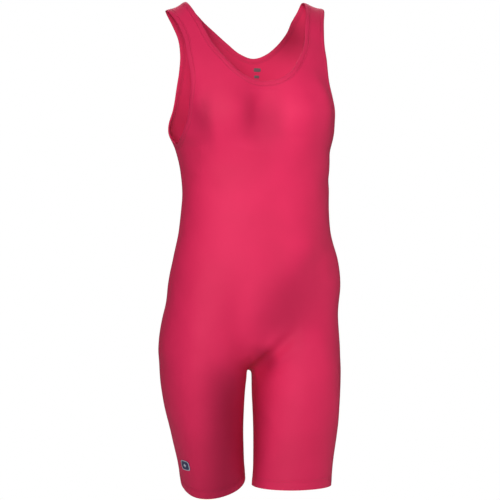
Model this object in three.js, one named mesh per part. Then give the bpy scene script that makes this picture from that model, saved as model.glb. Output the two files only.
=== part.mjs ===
// A women's wrestling singlet in plain stretch knit, filled out with no wearer.
// Millimetres, +Z up. The front faces -Y and the wearer's left is +X. The origin is on the line of the
// shoulder seams, midway between the straps, where the garment is held up.
import * as THREE from "three";

// Cloth, bands and hems
const CLOTH = 1.5;
const BAND_CLOTH = 2.1;
const BAND_RISE = 0.3;
const BAND_WIDTH = 10;
const BAND_FOLD = 1.2;
const HEM_CLOTH = 2.6;
const HEM_WIDTH = 20;
const SEAM_GAP = 0.3;
const SAME_POINT = 0.02;

// How finely points are brought down to the surface
const PROBE = 0.5;
const PASSES = 12;
const LEAST_RATE = 0.05;
const LONGEST_MOVE = 15;
const STRIDE = 8;
const CLOSE = 0.001;

// Lengths down from the shoulder line
const CHEST_DROP = { front: 220, back: 209 };
const HIP_DROP = 500;
const CROTCH_DROP = 643;
const LEG_TOP_DROP = 662;

// The trunk's sections from the shoulders down, each an oval about the point x, y. Its middle leans off to
// one side towards the back by the share lean, because the shoulders are turned a little.
const TRUNK = [
  { z: 0, x: 0, y: 0, wide: 170, front: 74, back: 40, square: 2.3, lean: 0.05 },
  { z: -60, x: 2, y: -8, wide: 168, front: 84, back: 39, square: 2.3, lean: 0.08 },
  { z: -100, x: 3, y: -14, wide: 164, front: 92, back: 43, square: 2.35, lean: 0.09 },
  { z: -150, x: 4, y: -20, wide: 155, front: 99, back: 60, square: 2.45, lean: 0.09 },
  { z: -190, x: 4, y: -24, wide: 147.5, front: 104, back: 76, square: 2.5, lean: 0.06 },
  { z: -230, x: 2, y: -25, wide: 144.5, front: 105, back: 86, square: 2.45, lean: 0.03 },
  { z: -262, x: 5.5, y: -26, wide: 135, front: 105, back: 90, square: 2.35, lean: 0 },
  { z: -300, x: 9, y: -27, wide: 130.5, front: 100, back: 86, square: 2.3, lean: 0 },
  { z: -345, x: 10, y: -28, wide: 130, front: 96, back: 84, square: 2.25, lean: 0 },
  { z: -400, x: 9.7, y: -27, wide: 135, front: 98, back: 88, square: 2.2, lean: 0 },
  { z: -450, x: 12.3, y: -25, wide: 147.3, front: 100, back: 99, square: 2.2, lean: 0 },
  { z: -500, x: 11.5, y: -22, wide: 153.3, front: 100, back: 110, square: 2.2, lean: 0 },
  { z: -550, x: 8.2, y: -18, wide: 148, front: 95, back: 115, square: 2.2, lean: 0 },
  { z: -600, x: 4, y: -15, wide: 146, front: 80, back: 110, square: 2.2, lean: 0 },
  { z: -645, x: 2, y: -12, wide: 140, front: 54, back: 92, square: 2.2, lean: 0 },
  { z: -700, x: 2, y: -12, wide: 134, front: 36, back: 70, square: 2.2, lean: 0 },
];

// The legs' sections, the right one stepping back and in, the left one a little forward
const RIGHT_LEG = [
  { z: -500, x: -78, y: -16, wide: 66, deep: 70 },
  { z: -560, x: -78, y: -14, wide: 71, deep: 82 },
  { z: -600, x: -79, y: -11, wide: 73, deep: 88 },
  { z: -649, x: -79, y: -7, wide: 73, deep: 86 },
  { z: -702, x: -74.7, y: 1, wide: 68.3, deep: 78 },
  { z: -755, x: -66.7, y: 9, wide: 61.3, deep: 73 },
  { z: -808, x: -57, y: 18, wide: 56.5, deep: 70 },
  { z: -870, x: -47, y: 28, wide: 53, deep: 68 },
];
const LEFT_LEG = [
  { z: -500, x: 80, y: -18, wide: 66, deep: 70 },
  { z: -560, x: 82, y: -20, wide: 74, deep: 84 },
  { z: -600, x: 84, y: -23, wide: 76, deep: 92 },
  { z: -649, x: 86, y: -27, wide: 76, deep: 88 },
  { z: -702, x: 83.7, y: -33, wide: 76.3, deep: 76 },
  { z: -755, x: 80.7, y: -37, wide: 73.5, deep: 66 },
  { z: -808, x: 76.8, y: -38, wide: 70.5, deep: 60 },
  { z: -870, x: 72, y: -38, wide: 69, deep: 56 },
];
const LEG_SQUARE = 2.15;
const LEG_CAP = { z: -530, soft: 20 };

// How the shoulders close over, the cups, and how soft the joins between trunk and legs are
const SHOULDER = { start: -150, round: 2.2, slope: 0.32, tilt: 0.05, neck: 107, reach: 170, most: 0.93 };
const BUST = { x: 76, z: -196, height: 23, across: 43, above: 58, below: 40, fadeFrom: 10, fadeTo: 80 };
const CROTCH = { soft: 26, rise: 4 };
const JOIN = { hip: 13, crotch: 4, high: -605, low: -655 };

// Finished neck edge from the middle of the front over the left shoulder to the middle of the back, with x
// measured from the trunk's middle. The back of the neck hangs a little to the left, by shift.
const NECK = [
  { x: 0, y: -126, z: -148, shift: 0 },
  { x: 24, y: -126, z: -145, shift: 0 },
  { x: 46, y: -122, z: -133.5, shift: 0 },
  { x: 64, y: -111, z: -112, shift: 0 },
  { x: 82, y: -90, z: -84, shift: 0 },
  { x: 96, y: -59, z: -41, shift: 0 },
  { x: 107, y: 0, z: 0, shift: 0 },
  { x: 96.5, y: 15, z: -12, shift: 6.5 },
  { x: 80.5, y: 22, z: -32, shift: 10.5 },
  { x: 67.5, y: 25, z: -48, shift: 15.5 },
  { x: 48, y: 26, z: -68, shift: 18 },
  { x: 25, y: 27, z: -86, shift: 18 },
  { x: 0, y: 27, z: -94, shift: 18 },
];
const NECK_CREST = 6;
const NECK_CORNER = { front: 3, back: 9 };

// Finished armhole edge from the armpit up the front, over the shoulder and down the back
const ARMHOLE = [
  { x: 137, y: -25, z: -252, shift: 0 },
  { x: 135, y: -62, z: -241, shift: 0 },
  { x: 131, y: -88, z: -222, shift: 0 },
  { x: 128.5, y: -98, z: -196, shift: 0 },
  { x: 124, y: -98, z: -152, shift: 0 },
  { x: 125, y: -78, z: -104, shift: 0 },
  { x: 128, y: -60, z: -68, shift: 0 },
  { x: 136, y: -32, z: -35, shift: 0 },
  { x: 146, y: 0, z: -14, shift: 0 },
  { x: 140, y: 8, z: -24, shift: 0 },
  { x: 131, y: 13, z: -41, shift: 0 },
  { x: 122, y: 16, z: -64, shift: 0 },
  { x: 119.5, y: 17, z: -92, shift: 0 },
  { x: 121.5, y: 19, z: -122, shift: 0 },
  { x: 127, y: 21, z: -154, shift: 0 },
  { x: 132, y: 17, z: -186, shift: 0 },
  { x: 137, y: 5, z: -218, shift: 0 },
];
const ARMHOLE_CREST = 8;
const ARMHOLE_CORNERS = { front: { under: 2.3, strap: 5 }, back: { under: 15.7, strap: 12.3 } };

// Points inside the openings, from which the bands lie outwards
const NECK_CENTRE = { x: 0, y: -40, z: -30, shift: 0 };
const ARMHOLE_CENTRE = { x: 150, y: -38, z: -130, shift: 0 };

// The planes in which the leg hems lie
const RIGHT_HEM = { z: -838.5, riseX: 0.28, riseY: 0.3 };
const LEFT_HEM = { z: -845.5, riseX: 0, riseY: 0.03 };

// The grid of each quarter: columns from the middle to the side, and rows up each stretch
const COLUMNS = 12;
const NECK_COLUMNS = 5;
const ROWS = { hem: 2, leg: 11, hip: 9, waist: 17, chest: 7, strap: 9 };
const UNDERARM_COLUMNS = 3;
const FINE = 60;
const LOOP_STEPS = 24;

// The badge on the outside of the right leg, placed in the leg's rows and columns
const BADGE = { row: 2.2, column: 10.4, high: 18, wide: 28, thick: 0.7, corner: 4, around: 28, rings: 2 };

const PINK = new THREE.MeshStandardMaterial({ color: "#e52f5f", roughness: 0.75, metalness: 0 });
const BAND_PINK = new THREE.MeshStandardMaterial({ color: "#d02f58", roughness: 0.75, metalness: 0 });
const NAVY = new THREE.MeshStandardMaterial({ color: "#2b2f5e", roughness: 0.5, metalness: 0 });

const { smoothstep, clamp, lerp } = THREE.MathUtils;
const AXES = [new THREE.Vector3(1, 0, 0), new THREE.Vector3(0, 1, 0), new THREE.Vector3(0, 0, 1)];

// A table's row at height z, each column by a smooth cubic through the rows around it
function section(rows, z) {
  const last = rows.length - 1;
  const height = clamp(z, rows[last].z, rows[0].z);
  let i = 0;
  while (i < last - 1 && height < rows[i + 1].z) i += 1;
  const above = rows[i];
  const below = rows[i + 1];
  const span = below.z - above.z;
  const t = (height - above.z) / span;
  const before = rows[Math.max(i - 1, 0)];
  const after = rows[Math.min(i + 2, last)];
  const found = {};
  for (const column of Object.keys(above)) {
    const leave = ((below[column] - before[column]) / (below.z - before.z)) * span;
    const arrive = ((after[column] - above[column]) / (after.z - above.z)) * span;
    const bend = 3 * (below[column] - above[column]) - 2 * leave - arrive;
    const twist = leave + arrive - 2 * (below[column] - above[column]);
    found[column] = above[column] + t * (leave + t * (bend + t * twist));
  }
  return found;
}

function softMax(a, b, soft) {
  const most = Math.max(a, b);
  return most + soft * Math.log(Math.exp((a - most) / soft) + Math.exp((b - most) / soft));
}

function softMin(values, soft) {
  const least = Math.min(...values);
  const sum = values.reduce((total, value) => total + Math.exp((least - value) / soft), 0);
  return least - soft * Math.log(sum);
}

function bell(distance, spread) {
  return Math.exp(-0.5 * (distance / spread) ** 2);
}

// How far outside the trunk a point lies, less than 0 inside
function trunk(point) {
  const { x, y, wide, front, back, square, lean } = section(TRUNK, point.z);
  const along = point.y - y;
  const across = point.x - x - lean * along;
  const deep = along < 0 ? front : back;
  const oval = (Math.abs(across / wide) ** square + Math.abs(along / deep) ** square) ** (1 / square);
  const up = Math.max(point.z - SHOULDER.start, 0);
  const top = SHOULDER.slope * (SHOULDER.neck - Math.abs(across)) + SHOULDER.tilt * across;
  const outward = Math.min(Math.abs(across) / SHOULDER.reach, SHOULDER.most);
  const cap = (1 - outward ** SHOULDER.round) ** (1 / SHOULDER.round);
  const rise = (up * cap) / (top - SHOULDER.start);
  const ratio = Math.max((oval ** SHOULDER.round + rise ** SHOULDER.round) ** (1 / SHOULDER.round), CLOSE);
  const body = Math.hypot(across, along, up) * (1 - 1 / ratio);
  const height = point.z - BUST.z;
  const upright = bell(height, height > 0 ? BUST.above : BUST.below);
  const cups = bell(across - BUST.x, BUST.across) + bell(across + BUST.x, BUST.across);
  const bust = BUST.height * upright * cups * smoothstep(-along, BUST.fadeFrom, BUST.fadeTo);
  return softMax(body - bust, -CROTCH_DROP - point.z, CROTCH.soft);
}

// How far outside one leg a point lies
function leg(point, rows) {
  const { x, y, wide, deep } = section(rows, point.z);
  const across = point.x - x;
  const along = point.y - y;
  const sum = Math.abs(across / wide) ** LEG_SQUARE + Math.abs(along / deep) ** LEG_SQUARE;
  const ratio = Math.max(sum ** (1 / LEG_SQUARE), CLOSE);
  return softMax(Math.hypot(across, along) * (1 - 1 / ratio), point.z - LEG_CAP.z, LEG_CAP.soft);
}

// How far outside the filled-out garment a point lies
function form(point) {
  const soft = lerp(JOIN.crotch, JOIN.hip, smoothstep(point.z, JOIN.low, JOIN.high));
  return softMin([trunk(point), leg(point, RIGHT_LEG), leg(point, LEFT_LEG)], soft);
}

// The direction in which the form's value grows fastest, as long as its rate
function rate(point) {
  const steps = AXES.map((axis) => {
    const ahead = form(point.clone().addScaledVector(axis, PROBE));
    const behind = form(point.clone().addScaledVector(axis, -PROBE));
    return (ahead - behind) / (2 * PROBE);
  });
  return new THREE.Vector3(...steps);
}

function outward(point) {
  return rate(point).normalize();
}

// The point of the form's surface that a nearby point comes down or up to
function onto(point) {
  const moved = point.clone();
  for (let pass = 0; pass < PASSES; pass += 1) {
    const away = rate(moved);
    const move = away.multiplyScalar(form(moved) / Math.max(away.lengthSq(), LEAST_RATE));
    moved.sub(move.clampLength(0, LONGEST_MOVE));
  }
  return moved;
}

// The first surface point that a ray from inside the form reaches
function cast(origin, direction) {
  const at = (reach) => origin.clone().addScaledVector(direction, reach);
  let far = STRIDE;
  while (form(at(far)) < 0) far += STRIDE;
  let near = far - STRIDE;
  while (far - near > CLOSE) {
    const middle = (near + far) / 2;
    if (form(at(middle)) < 0) near = middle;
    else far = middle;
  }
  return at(near);
}

// A row of an edge's table on the left side, or its mirror image on the right
function place(row, side) {
  const middle = section(TRUNK, row.z);
  const x = middle.x + middle.lean * (row.y - middle.y) + row.shift;
  const tilt = SHOULDER.tilt * side * row.x * smoothstep(row.z, SHOULDER.start, 0);
  return new THREE.Vector3(x + side * row.x, row.y, row.z + tilt);
}

// Even places along a stretch of a line, as fractional indices that the lines beside it share
function places(line, from, to, steps) {
  const low = Math.min(from, to);
  const high = Math.max(from, to);
  const run = [0];
  for (let i = low + 1; i <= high; i += 1) run.push(run.at(-1) + line[i].distanceTo(line[i - 1]));
  const found = [low];
  let i = 0;
  for (let step = 1; step < steps; step += 1) {
    const goal = (run.at(-1) * step) / steps;
    while (run[i + 1] < goal) i += 1;
    found.push(low + i + (goal - run[i]) / (run[i + 1] - run[i]));
  }
  found.push(high);
  return from < to ? found : found.reverse();
}

function pointAt(line, index) {
  const i = Math.min(Math.floor(index), line.length - 2);
  return line[i].clone().lerp(line[i + 1], index - i);
}

function evenly(line, steps) {
  return places(line, 0, line.length - 1, steps).map((index) => pointAt(line, index));
}

function series(steps, make) {
  return Array.from({ length: steps + 1 }, (_, i) => make(i / steps));
}

// Even steps over the surface between two of its points
function overSurface(start, end, steps) {
  const line = series(FINE, (t) => onto(start.clone().lerp(end, t)));
  return evenly(line, steps);
}

// A closed edge on the surface, and the lines that lie a band's width inside the cloth from it
function edgeLoop(corners, centre) {
  const curve = new THREE.CatmullRomCurve3(corners, true);
  const edge = curve.getPoints(corners.length * LOOP_STEPS).map(onto);
  const inset = (width) => edge.map((point, i) => {
    const ahead = edge[i + 1 < edge.length ? i + 1 : 1];
    const behind = edge[i > 0 ? i - 1 : edge.length - 2];
    const away = point.clone().sub(centre).projectOnPlane(outward(point));
    away.projectOnPlane(ahead.clone().sub(behind).normalize()).setLength(width);
    return onto(point.clone().add(away));
  });
  return { edge, band: inset(BAND_WIDTH), panel: inset(BAND_WIDTH + SEAM_GAP) };
}

function neckLoop() {
  const left = NECK.map((row) => place(row, 1));
  const right = NECK.slice(1, -1).reverse().map((row) => place(row, -1));
  return edgeLoop([...left, ...right], place(NECK_CENTRE, 1));
}

function armholeLoop(side) {
  const corners = ARMHOLE.map((row) => place(row, side));
  return edgeLoop(corners, place(ARMHOLE_CENTRE, side));
}

// The places of one quarter on the neck loop: along the yoke from the middle, then up the strap
function neckPlaces(loop, side, face) {
  const turned = (row) => LOOP_STEPS * (side > 0 ? row : 2 * (NECK.length - 1) - row);
  const middle = face === "front" ? 0 : NECK.length - 1;
  const corner = Math.round(turned(NECK_CORNER[face]));
  return {
    yoke: places(loop.panel, turned(middle), corner, NECK_COLUMNS),
    strap: places(loop.panel, corner, turned(NECK_CREST), ROWS.strap),
  };
}

// The places of one quarter on an armhole loop, from the armpit: under the arm, up the chest, up the strap
function armholePlaces(loop, face) {
  const armpit = LOOP_STEPS * (face === "front" ? 0 : ARMHOLE.length);
  const under = Math.round(LOOP_STEPS * ARMHOLE_CORNERS[face].under);
  const foot = Math.round(LOOP_STEPS * ARMHOLE_CORNERS[face].strap);
  return {
    under: places(loop.panel, armpit, under, UNDERARM_COLUMNS),
    chest: places(loop.panel, under, foot, ROWS.chest),
    strap: places(loop.panel, foot, LOOP_STEPS * ARMHOLE_CREST, ROWS.strap),
  };
}

// A grid of surface points that fills four edges: bottom and top run outwards, inner and outer run up
function fill(bottom, top, inner, outer) {
  const blend = (a, b, t) => a.clone().multiplyScalar(1 - t).addScaledVector(b, t);
  return inner.map((left, row) => bottom.map((low, column) => {
    const up = row / (inner.length - 1);
    const out = column / (bottom.length - 1);
    const upright = blend(low, top[column], up);
    const level = blend(left, outer[row], out);
    const corners = blend(blend(bottom[0], bottom.at(-1), out), blend(top[0], top.at(-1), out), up);
    return onto(upright.add(level).sub(corners));
  }));
}

// The surface point at height z that lies a given share of the way round from the middle to the side seam
function trunkPoint(z, side, face, share) {
  const { x, y, wide, front, back, lean } = section(TRUNK, z);
  const turn = (share * Math.PI) / 2;
  const along = (face === "front" ? -front : back) * Math.cos(turn);
  const out = side * wide * Math.sin(turn) + lean * along;
  return cast(new THREE.Vector3(x, y, z), new THREE.Vector3(out, along, 0).normalize());
}

// Where a surface point lies between the middle and the side seam, from 0 to 1
function shareOf(point, face) {
  const { x, y, wide, front, back, lean } = section(TRUNK, point.z);
  const along = point.y - y;
  const out = Math.abs(point.x - x - lean * along) / wide;
  return Math.atan2(out, Math.abs(along) / (face === "front" ? front : back)) / (Math.PI / 2);
}

// A line over the trunk from one height and share to another, in even steps
function trunkPath(side, face, from, to, steps) {
  const line = series(2 * FINE, (t) => {
    return trunkPoint(lerp(from.z, to.z, t), side, face, lerp(from.share, to.share, t));
  });
  return evenly(line, steps);
}

// Half a leg's ring from the inseam to the side, in a plane that may tilt, lifted above it
function legRow(rows, plane, side, face, lift = 0) {
  const at = section(rows, plane.z);
  const line = series(2 * FINE, (t) => {
    const turn = Math.PI * (1 - t);
    const out = side * Math.cos(turn);
    const along = (face === "front" ? -1 : 1) * Math.sin(turn);
    const z = plane.z + plane.riseX * out * at.wide + plane.riseY * along * at.deep;
    const { x, y, wide, deep } = section(rows, z);
    return onto(new THREE.Vector3(x + out * wide, y + along * deep, z + lift));
  });
  return evenly(line, COLUMNS);
}

// A line up a leg between two of its points, at the inside or the outside of its sections
function legLine(rows, direction, low, high) {
  const line = series(FINE, (t) => {
    const z = lerp(low.z, high.z, t);
    const { x, y, wide } = section(rows, z);
    return onto(new THREE.Vector3(x + direction * wide, y, z));
  });
  return [low, ...line.slice(1, -1), high];
}

// The middle of one panel from the point where the four leg seams meet up to the hips
function crotchLine(face) {
  const { x, y } = section(TRUNK, -HIP_DROP);
  const origin = new THREE.Vector3(x, y, -HIP_DROP);
  const under = new THREE.Vector3(section(TRUNK, -CROTCH_DROP).x - x, 0, HIP_DROP - CROTCH_DROP);
  under.normalize();
  const toward = new THREE.Vector3(0, face === "front" ? -1 : 1, 0);
  return series(FINE, (t) => {
    const turn = (t * Math.PI) / 2;
    const direction = under.clone().multiplyScalar(Math.cos(turn)).addScaledVector(toward, Math.sin(turn));
    return cast(origin, direction);
  });
}

// How much of the rise to the crotch each point of a leg's ring takes, from 1 at the inseam to none
function riseShare(column) {
  return Math.max(1 - (CROTCH.rise * column) / COLUMNS, 0) ** 2;
}

// The patches of one quarter, the front or back of one side, from the leg hem up to the shoulder seam
function quarter(side, face, neck, armhole) {
  const legRows = side > 0 ? LEFT_LEG : RIGHT_LEG;
  const hemPlane = side > 0 ? LEFT_HEM : RIGHT_HEM;
  const neckAt = neckPlaces(neck, side, face);
  const armholeAt = armholePlaces(armhole, face);
  const onNeck = (index) => pointAt(neck.panel, index);
  const onArmhole = (index) => pointAt(armhole.panel, index);
  const path = (from, to, steps) => trunkPath(side, face, from, to, steps);
  const strapColumns = COLUMNS - NECK_COLUMNS - UNDERARM_COLUMNS;

  const yoke = neckAt.yoke.map(onNeck);
  const neckSide = neckAt.strap.map(onNeck);
  const armSide = armholeAt.strap.map(onArmhole);
  const strapFoot = overSurface(neckSide[0], armSide[0], strapColumns);
  const shoulder = overSurface(neckSide.at(-1), armSide.at(-1), strapColumns);
  const strap = fill(strapFoot, shoulder, neckSide, armSide);

  const chestSide = armholeAt.chest.map(onArmhole);
  const chestTop = [...yoke, ...strapFoot.slice(1)];
  const chestFoot = { z: -CHEST_DROP[face], share: 0 };
  const underarm = { z: chestSide[0].z, share: shareOf(chestSide[0], face) };
  const chestRow = [...path(chestFoot, underarm, chestTop.length - 1).slice(0, -1), chestSide[0]];
  const chestMiddle = [...path(chestFoot, { z: yoke[0].z, share: 0 }, ROWS.chest).slice(0, -1), yoke[0]];
  const chest = fill(chestRow, chestTop, chestMiddle, chestSide);

  const under = armholeAt.under.map(onArmhole).reverse();
  const armpit = { z: under.at(-1).z, share: 1 };
  const waistTop = [...chestRow, ...under.slice(1)];
  const hipRow = path({ z: -HIP_DROP, share: 0 }, { z: -HIP_DROP, share: 1 }, COLUMNS);
  const waistMiddle = path({ z: -HIP_DROP, share: 0 }, chestFoot, ROWS.waist);
  const waistSide = [...path({ z: -HIP_DROP, share: 1 }, armpit, ROWS.waist).slice(0, -1), under.at(-1)];
  const waist = fill(hipRow, waistTop, waistMiddle, waistSide);

  const middle = crotchLine(face);
  const crotch = middle[0];
  const level = { z: -LEG_TOP_DROP, riseX: 0, riseY: 0 };
  const ring = legRow(legRows, level, side, face);
  const lift = crotch.clone().sub(ring[0]);
  const raised = ring.map((point, i) => onto(point.clone().addScaledVector(lift, riseShare(i))));
  const legTop = evenly([crotch, ...raised.slice(1)], COLUMNS);
  const hipSide = overSurface(legTop.at(-1), hipRow.at(-1), ROWS.hip);
  const hip = fill(legTop, hipRow, evenly([...middle.slice(0, -1), hipRow[0]], ROWS.hip), hipSide);

  const hemEdge = legRow(legRows, hemPlane, side, face);
  const hemTop = legRow(legRows, hemPlane, side, face, HEM_WIDTH);
  const hem = fill(
    hemEdge,
    hemTop,
    overSurface(hemEdge[0], hemTop[0], ROWS.hem),
    overSurface(hemEdge.at(-1), hemTop.at(-1), ROWS.hem),
  );
  const arch = overSurface(ring[0], crotch, FINE).slice(1);
  const inseam = evenly([...legLine(legRows, -side, hemTop[0], ring[0]), ...arch], ROWS.leg);
  const outseam = evenly(legLine(legRows, side, hemTop.at(-1), legTop.at(-1)), ROWS.leg);
  const legPatch = fill(hemTop, legTop, inseam, outseam);
  return { hem, leg: legPatch, hip, waist, chest, strap };
}

// One closed body from outer and inner points: faces are triangles of the outer side, in turning order
// seen from outside, and each free edge is closed down to the inner side
function closedBody(outer, inner, faces) {
  const edges = new Set();
  const triangles = [];
  for (const [a, b, c] of faces) {
    triangles.push([a, b, c], [a + outer.length, c + outer.length, b + outer.length]);
    for (const [from, to] of [[a, b], [b, c], [c, a]]) edges.add(`${from} ${to}`);
  }
  for (const edge of edges) {
    const [from, to] = edge.split(" ").map(Number);
    if (edges.has(`${to} ${from}`)) continue;
    triangles.push([to, from, from + outer.length], [to, from + outer.length, to + outer.length]);
  }
  const geometry = new THREE.BufferGeometry();
  const points = [...outer, ...inner].flatMap((point) => point.toArray());
  geometry.setAttribute("position", new THREE.Float32BufferAttribute(points, 3));
  geometry.setIndex(triangles.flat());
  geometry.computeVertexNormals();
  return geometry;
}

// The triangles of a grid cell, cut along its shorter diagonal
function cellFaces(points, low, lowOut, highOut, high) {
  const rising = points[low].distanceTo(points[highOut]);
  const falling = points[lowOut].distanceTo(points[high]);
  if (rising < falling) return [[low, lowOut, highOut], [low, highOut, high]];
  return [[low, lowOut, high], [lowOut, highOut, high]];
}

// A panel of cloth from the patches of its two quarters
function panel(name, face, quarters) {
  const points = [];
  const depths = [];
  const faces = [];
  const indexOf = (point, depth) => {
    const found = points.findIndex((other) => other.distanceToSquared(point) < SAME_POINT ** 2);
    if (found >= 0) return found;
    depths.push(depth);
    return points.push(point) - 1;
  };
  for (const { side, patches } of quarters) {
    const outwards = side > 0 === (face === "front");
    for (const [stretch, grid] of Object.entries(patches)) {
      const depth = stretch === "hem" ? HEM_CLOTH : CLOTH;
      const index = grid.map((row) => row.map((point) => indexOf(point, depth)));
      for (let row = 1; row < index.length; row += 1) {
        for (let column = 1; column < index[row].length; column += 1) {
          const cell = [index[row - 1][column - 1], index[row - 1][column]];
          cell.push(index[row][column], index[row][column - 1]);
          const made = cellFaces(points, ...cell);
          faces.push(...(outwards ? made : made.map((corners) => corners.reverse())));
        }
      }
    }
  }
  const inner = points.map((point, i) => point.clone().addScaledVector(outward(point), -depths[i]));
  const mesh = new THREE.Mesh(closedBody(points, inner, faces), PINK);
  mesh.name = name;
  mesh.position.y = ((face === "front" ? -1 : 1) * SEAM_GAP) / 2;
  return mesh;
}

// A folded band round an opening: a ring whose section has a rounded fold at the finished edge. Its sign of
// turning is that of the loop, seen from outside
function band(name, loop, indices, turning) {
  const sectionAt = (index) => {
    const edge = pointAt(loop.edge, index);
    const inside = pointAt(loop.band, index);
    const share = BAND_FOLD / BAND_WIDTH;
    const middle = onto(edge.clone().lerp(inside, 0.5));
    const nose = onto(edge.clone().lerp(inside, share));
    const raise = (point, rise) => point.clone().addScaledVector(outward(point), rise);
    return [
      raise(edge, (BAND_RISE - BAND_CLOTH) / 2),
      raise(nose, BAND_RISE),
      raise(middle, BAND_RISE),
      raise(inside, BAND_RISE),
      raise(inside, -BAND_CLOTH),
      raise(nose, -BAND_CLOTH),
    ];
  };
  const rings = indices.map(sectionAt);
  const size = rings[0].length;
  const triangles = [];
  rings.forEach((_, i) => {
    const next = ((i + 1) % rings.length) * size;
    for (let k = 0; k < size; k += 1) {
      const after = (k + 1) % size;
      const corners = [i * size + k, next + k, next + after, i * size + after];
      triangles.push([corners[0], corners[1], corners[2]], [corners[0], corners[2], corners[3]]);
    }
  });
  const geometry = new THREE.BufferGeometry();
  const points = rings.flat().flatMap((point) => point.toArray());
  geometry.setAttribute("position", new THREE.Float32BufferAttribute(points, 3));
  geometry.setIndex(turning > 0 ? triangles.flat() : triangles.map((face) => face.reverse()).flat());
  geometry.computeVertexNormals();
  const mesh = new THREE.Mesh(geometry, BAND_PINK);
  mesh.name = name;
  return mesh;
}

// The places that bands share with the panels, once each, in order round the loop
function ringPlaces(lists, loop) {
  const end = loop.edge.length - 1;
  const all = lists.flat().map((index) => (index === end ? 0 : index));
  return [...new Set(all)].sort((a, b) => a - b);
}

// The badge: a thin rounded plate that lies on the leg, from points of the leg's own patch
function badge(name, grid) {
  const row = Math.floor(BADGE.row);
  const column = Math.floor(BADGE.column);
  const centre = grid[row][column].clone().lerp(grid[row + 1][column], BADGE.row - row);
  const beside = grid[row][column + 1].clone().lerp(grid[row + 1][column + 1], BADGE.row - row);
  const start = onto(centre.lerp(beside, BADGE.column - column));
  const away = outward(start);
  const level = new THREE.Vector3(0, 0, 1).cross(away).normalize();
  const up = away.clone().cross(level);
  const squared = (value) => Math.sign(value) * Math.abs(value) ** (2 / BADGE.corner);
  const outline = (turn, share) => {
    const x = (squared(Math.cos(turn)) * share * BADGE.wide) / 2;
    const y = (squared(Math.sin(turn)) * share * BADGE.high) / 2;
    return onto(start.clone().addScaledVector(level, x).addScaledVector(up, y));
  };
  const flat = [start];
  for (let ring = 1; ring <= BADGE.rings; ring += 1) {
    for (let step = 0; step < BADGE.around; step += 1) {
      flat.push(outline((2 * Math.PI * step) / BADGE.around, ring / BADGE.rings));
    }
  }
  const faces = [];
  for (let step = 0; step < BADGE.around; step += 1) {
    const next = (step + 1) % BADGE.around;
    faces.push([0, 1 + step, 1 + next]);
    for (let ring = 1; ring < BADGE.rings; ring += 1) {
      const low = 1 + (ring - 1) * BADGE.around;
      const high = low + BADGE.around;
      faces.push([low + step, high + step, high + next], [low + step, high + next, low + next]);
    }
  }
  const under = flat.map((point) => point.clone().addScaledVector(outward(point), SEAM_GAP));
  const over = under.map((point) => point.clone().addScaledVector(outward(point), BADGE.thick));
  const mesh = new THREE.Mesh(closedBody(over, under, faces), NAVY);
  mesh.name = name;
  return mesh;
}

function singlet() {
  const garment = new THREE.Group();
  const neck = neckLoop();
  const sides = [
    { side: -1, word: "right", armhole: armholeLoop(-1) },
    { side: 1, word: "left", armhole: armholeLoop(1) },
  ];
  for (const face of ["front", "back"]) {
    const quarters = sides.map(({ side, armhole }) => {
      return { side, patches: quarter(side, face, neck, armhole) };
    });
    garment.add(panel(`${face}_panel`, face, quarters));
    if (face === "front") garment.add(badge("leg_badge", quarters[0].patches.leg));
  }
  const neckLists = sides.flatMap(({ side }) => ["front", "back"].flatMap((face) => {
    const { yoke, strap } = neckPlaces(neck, side, face);
    return [yoke, strap];
  }));
  garment.add(band("neck_band", neck, ringPlaces(neckLists, neck), -1));
  for (const { side, word, armhole } of sides) {
    const lists = ["front", "back"].flatMap((face) => {
      const { under, chest, strap } = armholePlaces(armhole, face);
      return [under, chest, strap];
    });
    garment.add(band(`armhole_band_${word}`, armhole, ringPlaces(lists, armhole), side));
  }
  return garment;
}

const group = singlet();
export default group;
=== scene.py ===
import functools
import math

import bpy
import numpy as np
from mathutils.kdtree import KDTree
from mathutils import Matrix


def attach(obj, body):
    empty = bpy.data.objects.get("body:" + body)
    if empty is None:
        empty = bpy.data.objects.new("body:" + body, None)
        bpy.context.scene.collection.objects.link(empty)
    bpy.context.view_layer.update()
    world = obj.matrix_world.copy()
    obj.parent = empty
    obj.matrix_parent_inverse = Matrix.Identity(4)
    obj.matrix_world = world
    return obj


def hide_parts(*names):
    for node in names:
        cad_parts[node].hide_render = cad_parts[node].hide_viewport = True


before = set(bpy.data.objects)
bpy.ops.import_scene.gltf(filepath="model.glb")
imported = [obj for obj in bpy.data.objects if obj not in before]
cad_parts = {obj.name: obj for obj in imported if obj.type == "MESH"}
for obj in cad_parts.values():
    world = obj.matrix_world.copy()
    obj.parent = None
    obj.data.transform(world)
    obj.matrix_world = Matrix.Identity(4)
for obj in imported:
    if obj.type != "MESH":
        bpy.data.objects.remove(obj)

bl_info = {
    "name": "Stretch Singlet",
    "version": (1, 0, 0),
    "blender": (4, 5, 0),
    "location": "View3D > Sidebar > Singlet",
    "description": "Cuts, sews and lights a stretch-knit wrestling singlet round its packed solids",
    "category": "Object",
}

# Sizes of the cloth in millimetres, the same as in the part's source. +Z is up and the front faces -Y
CLOTH = 1.5
HEM_CLOTH = 2.6
HEM_WIDTH = 20
BAND_WIDTH = 10
SEAM_GAP = 0.3
SAME_POINT = 0.02
METRES = 0.001

# Lengths down from the shoulder line
CHEST_DROP = {"front": 220, "back": 209}
HIP_DROP = 500
CROTCH_DROP = 643
LEG_TOP_DROP = 662

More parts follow.
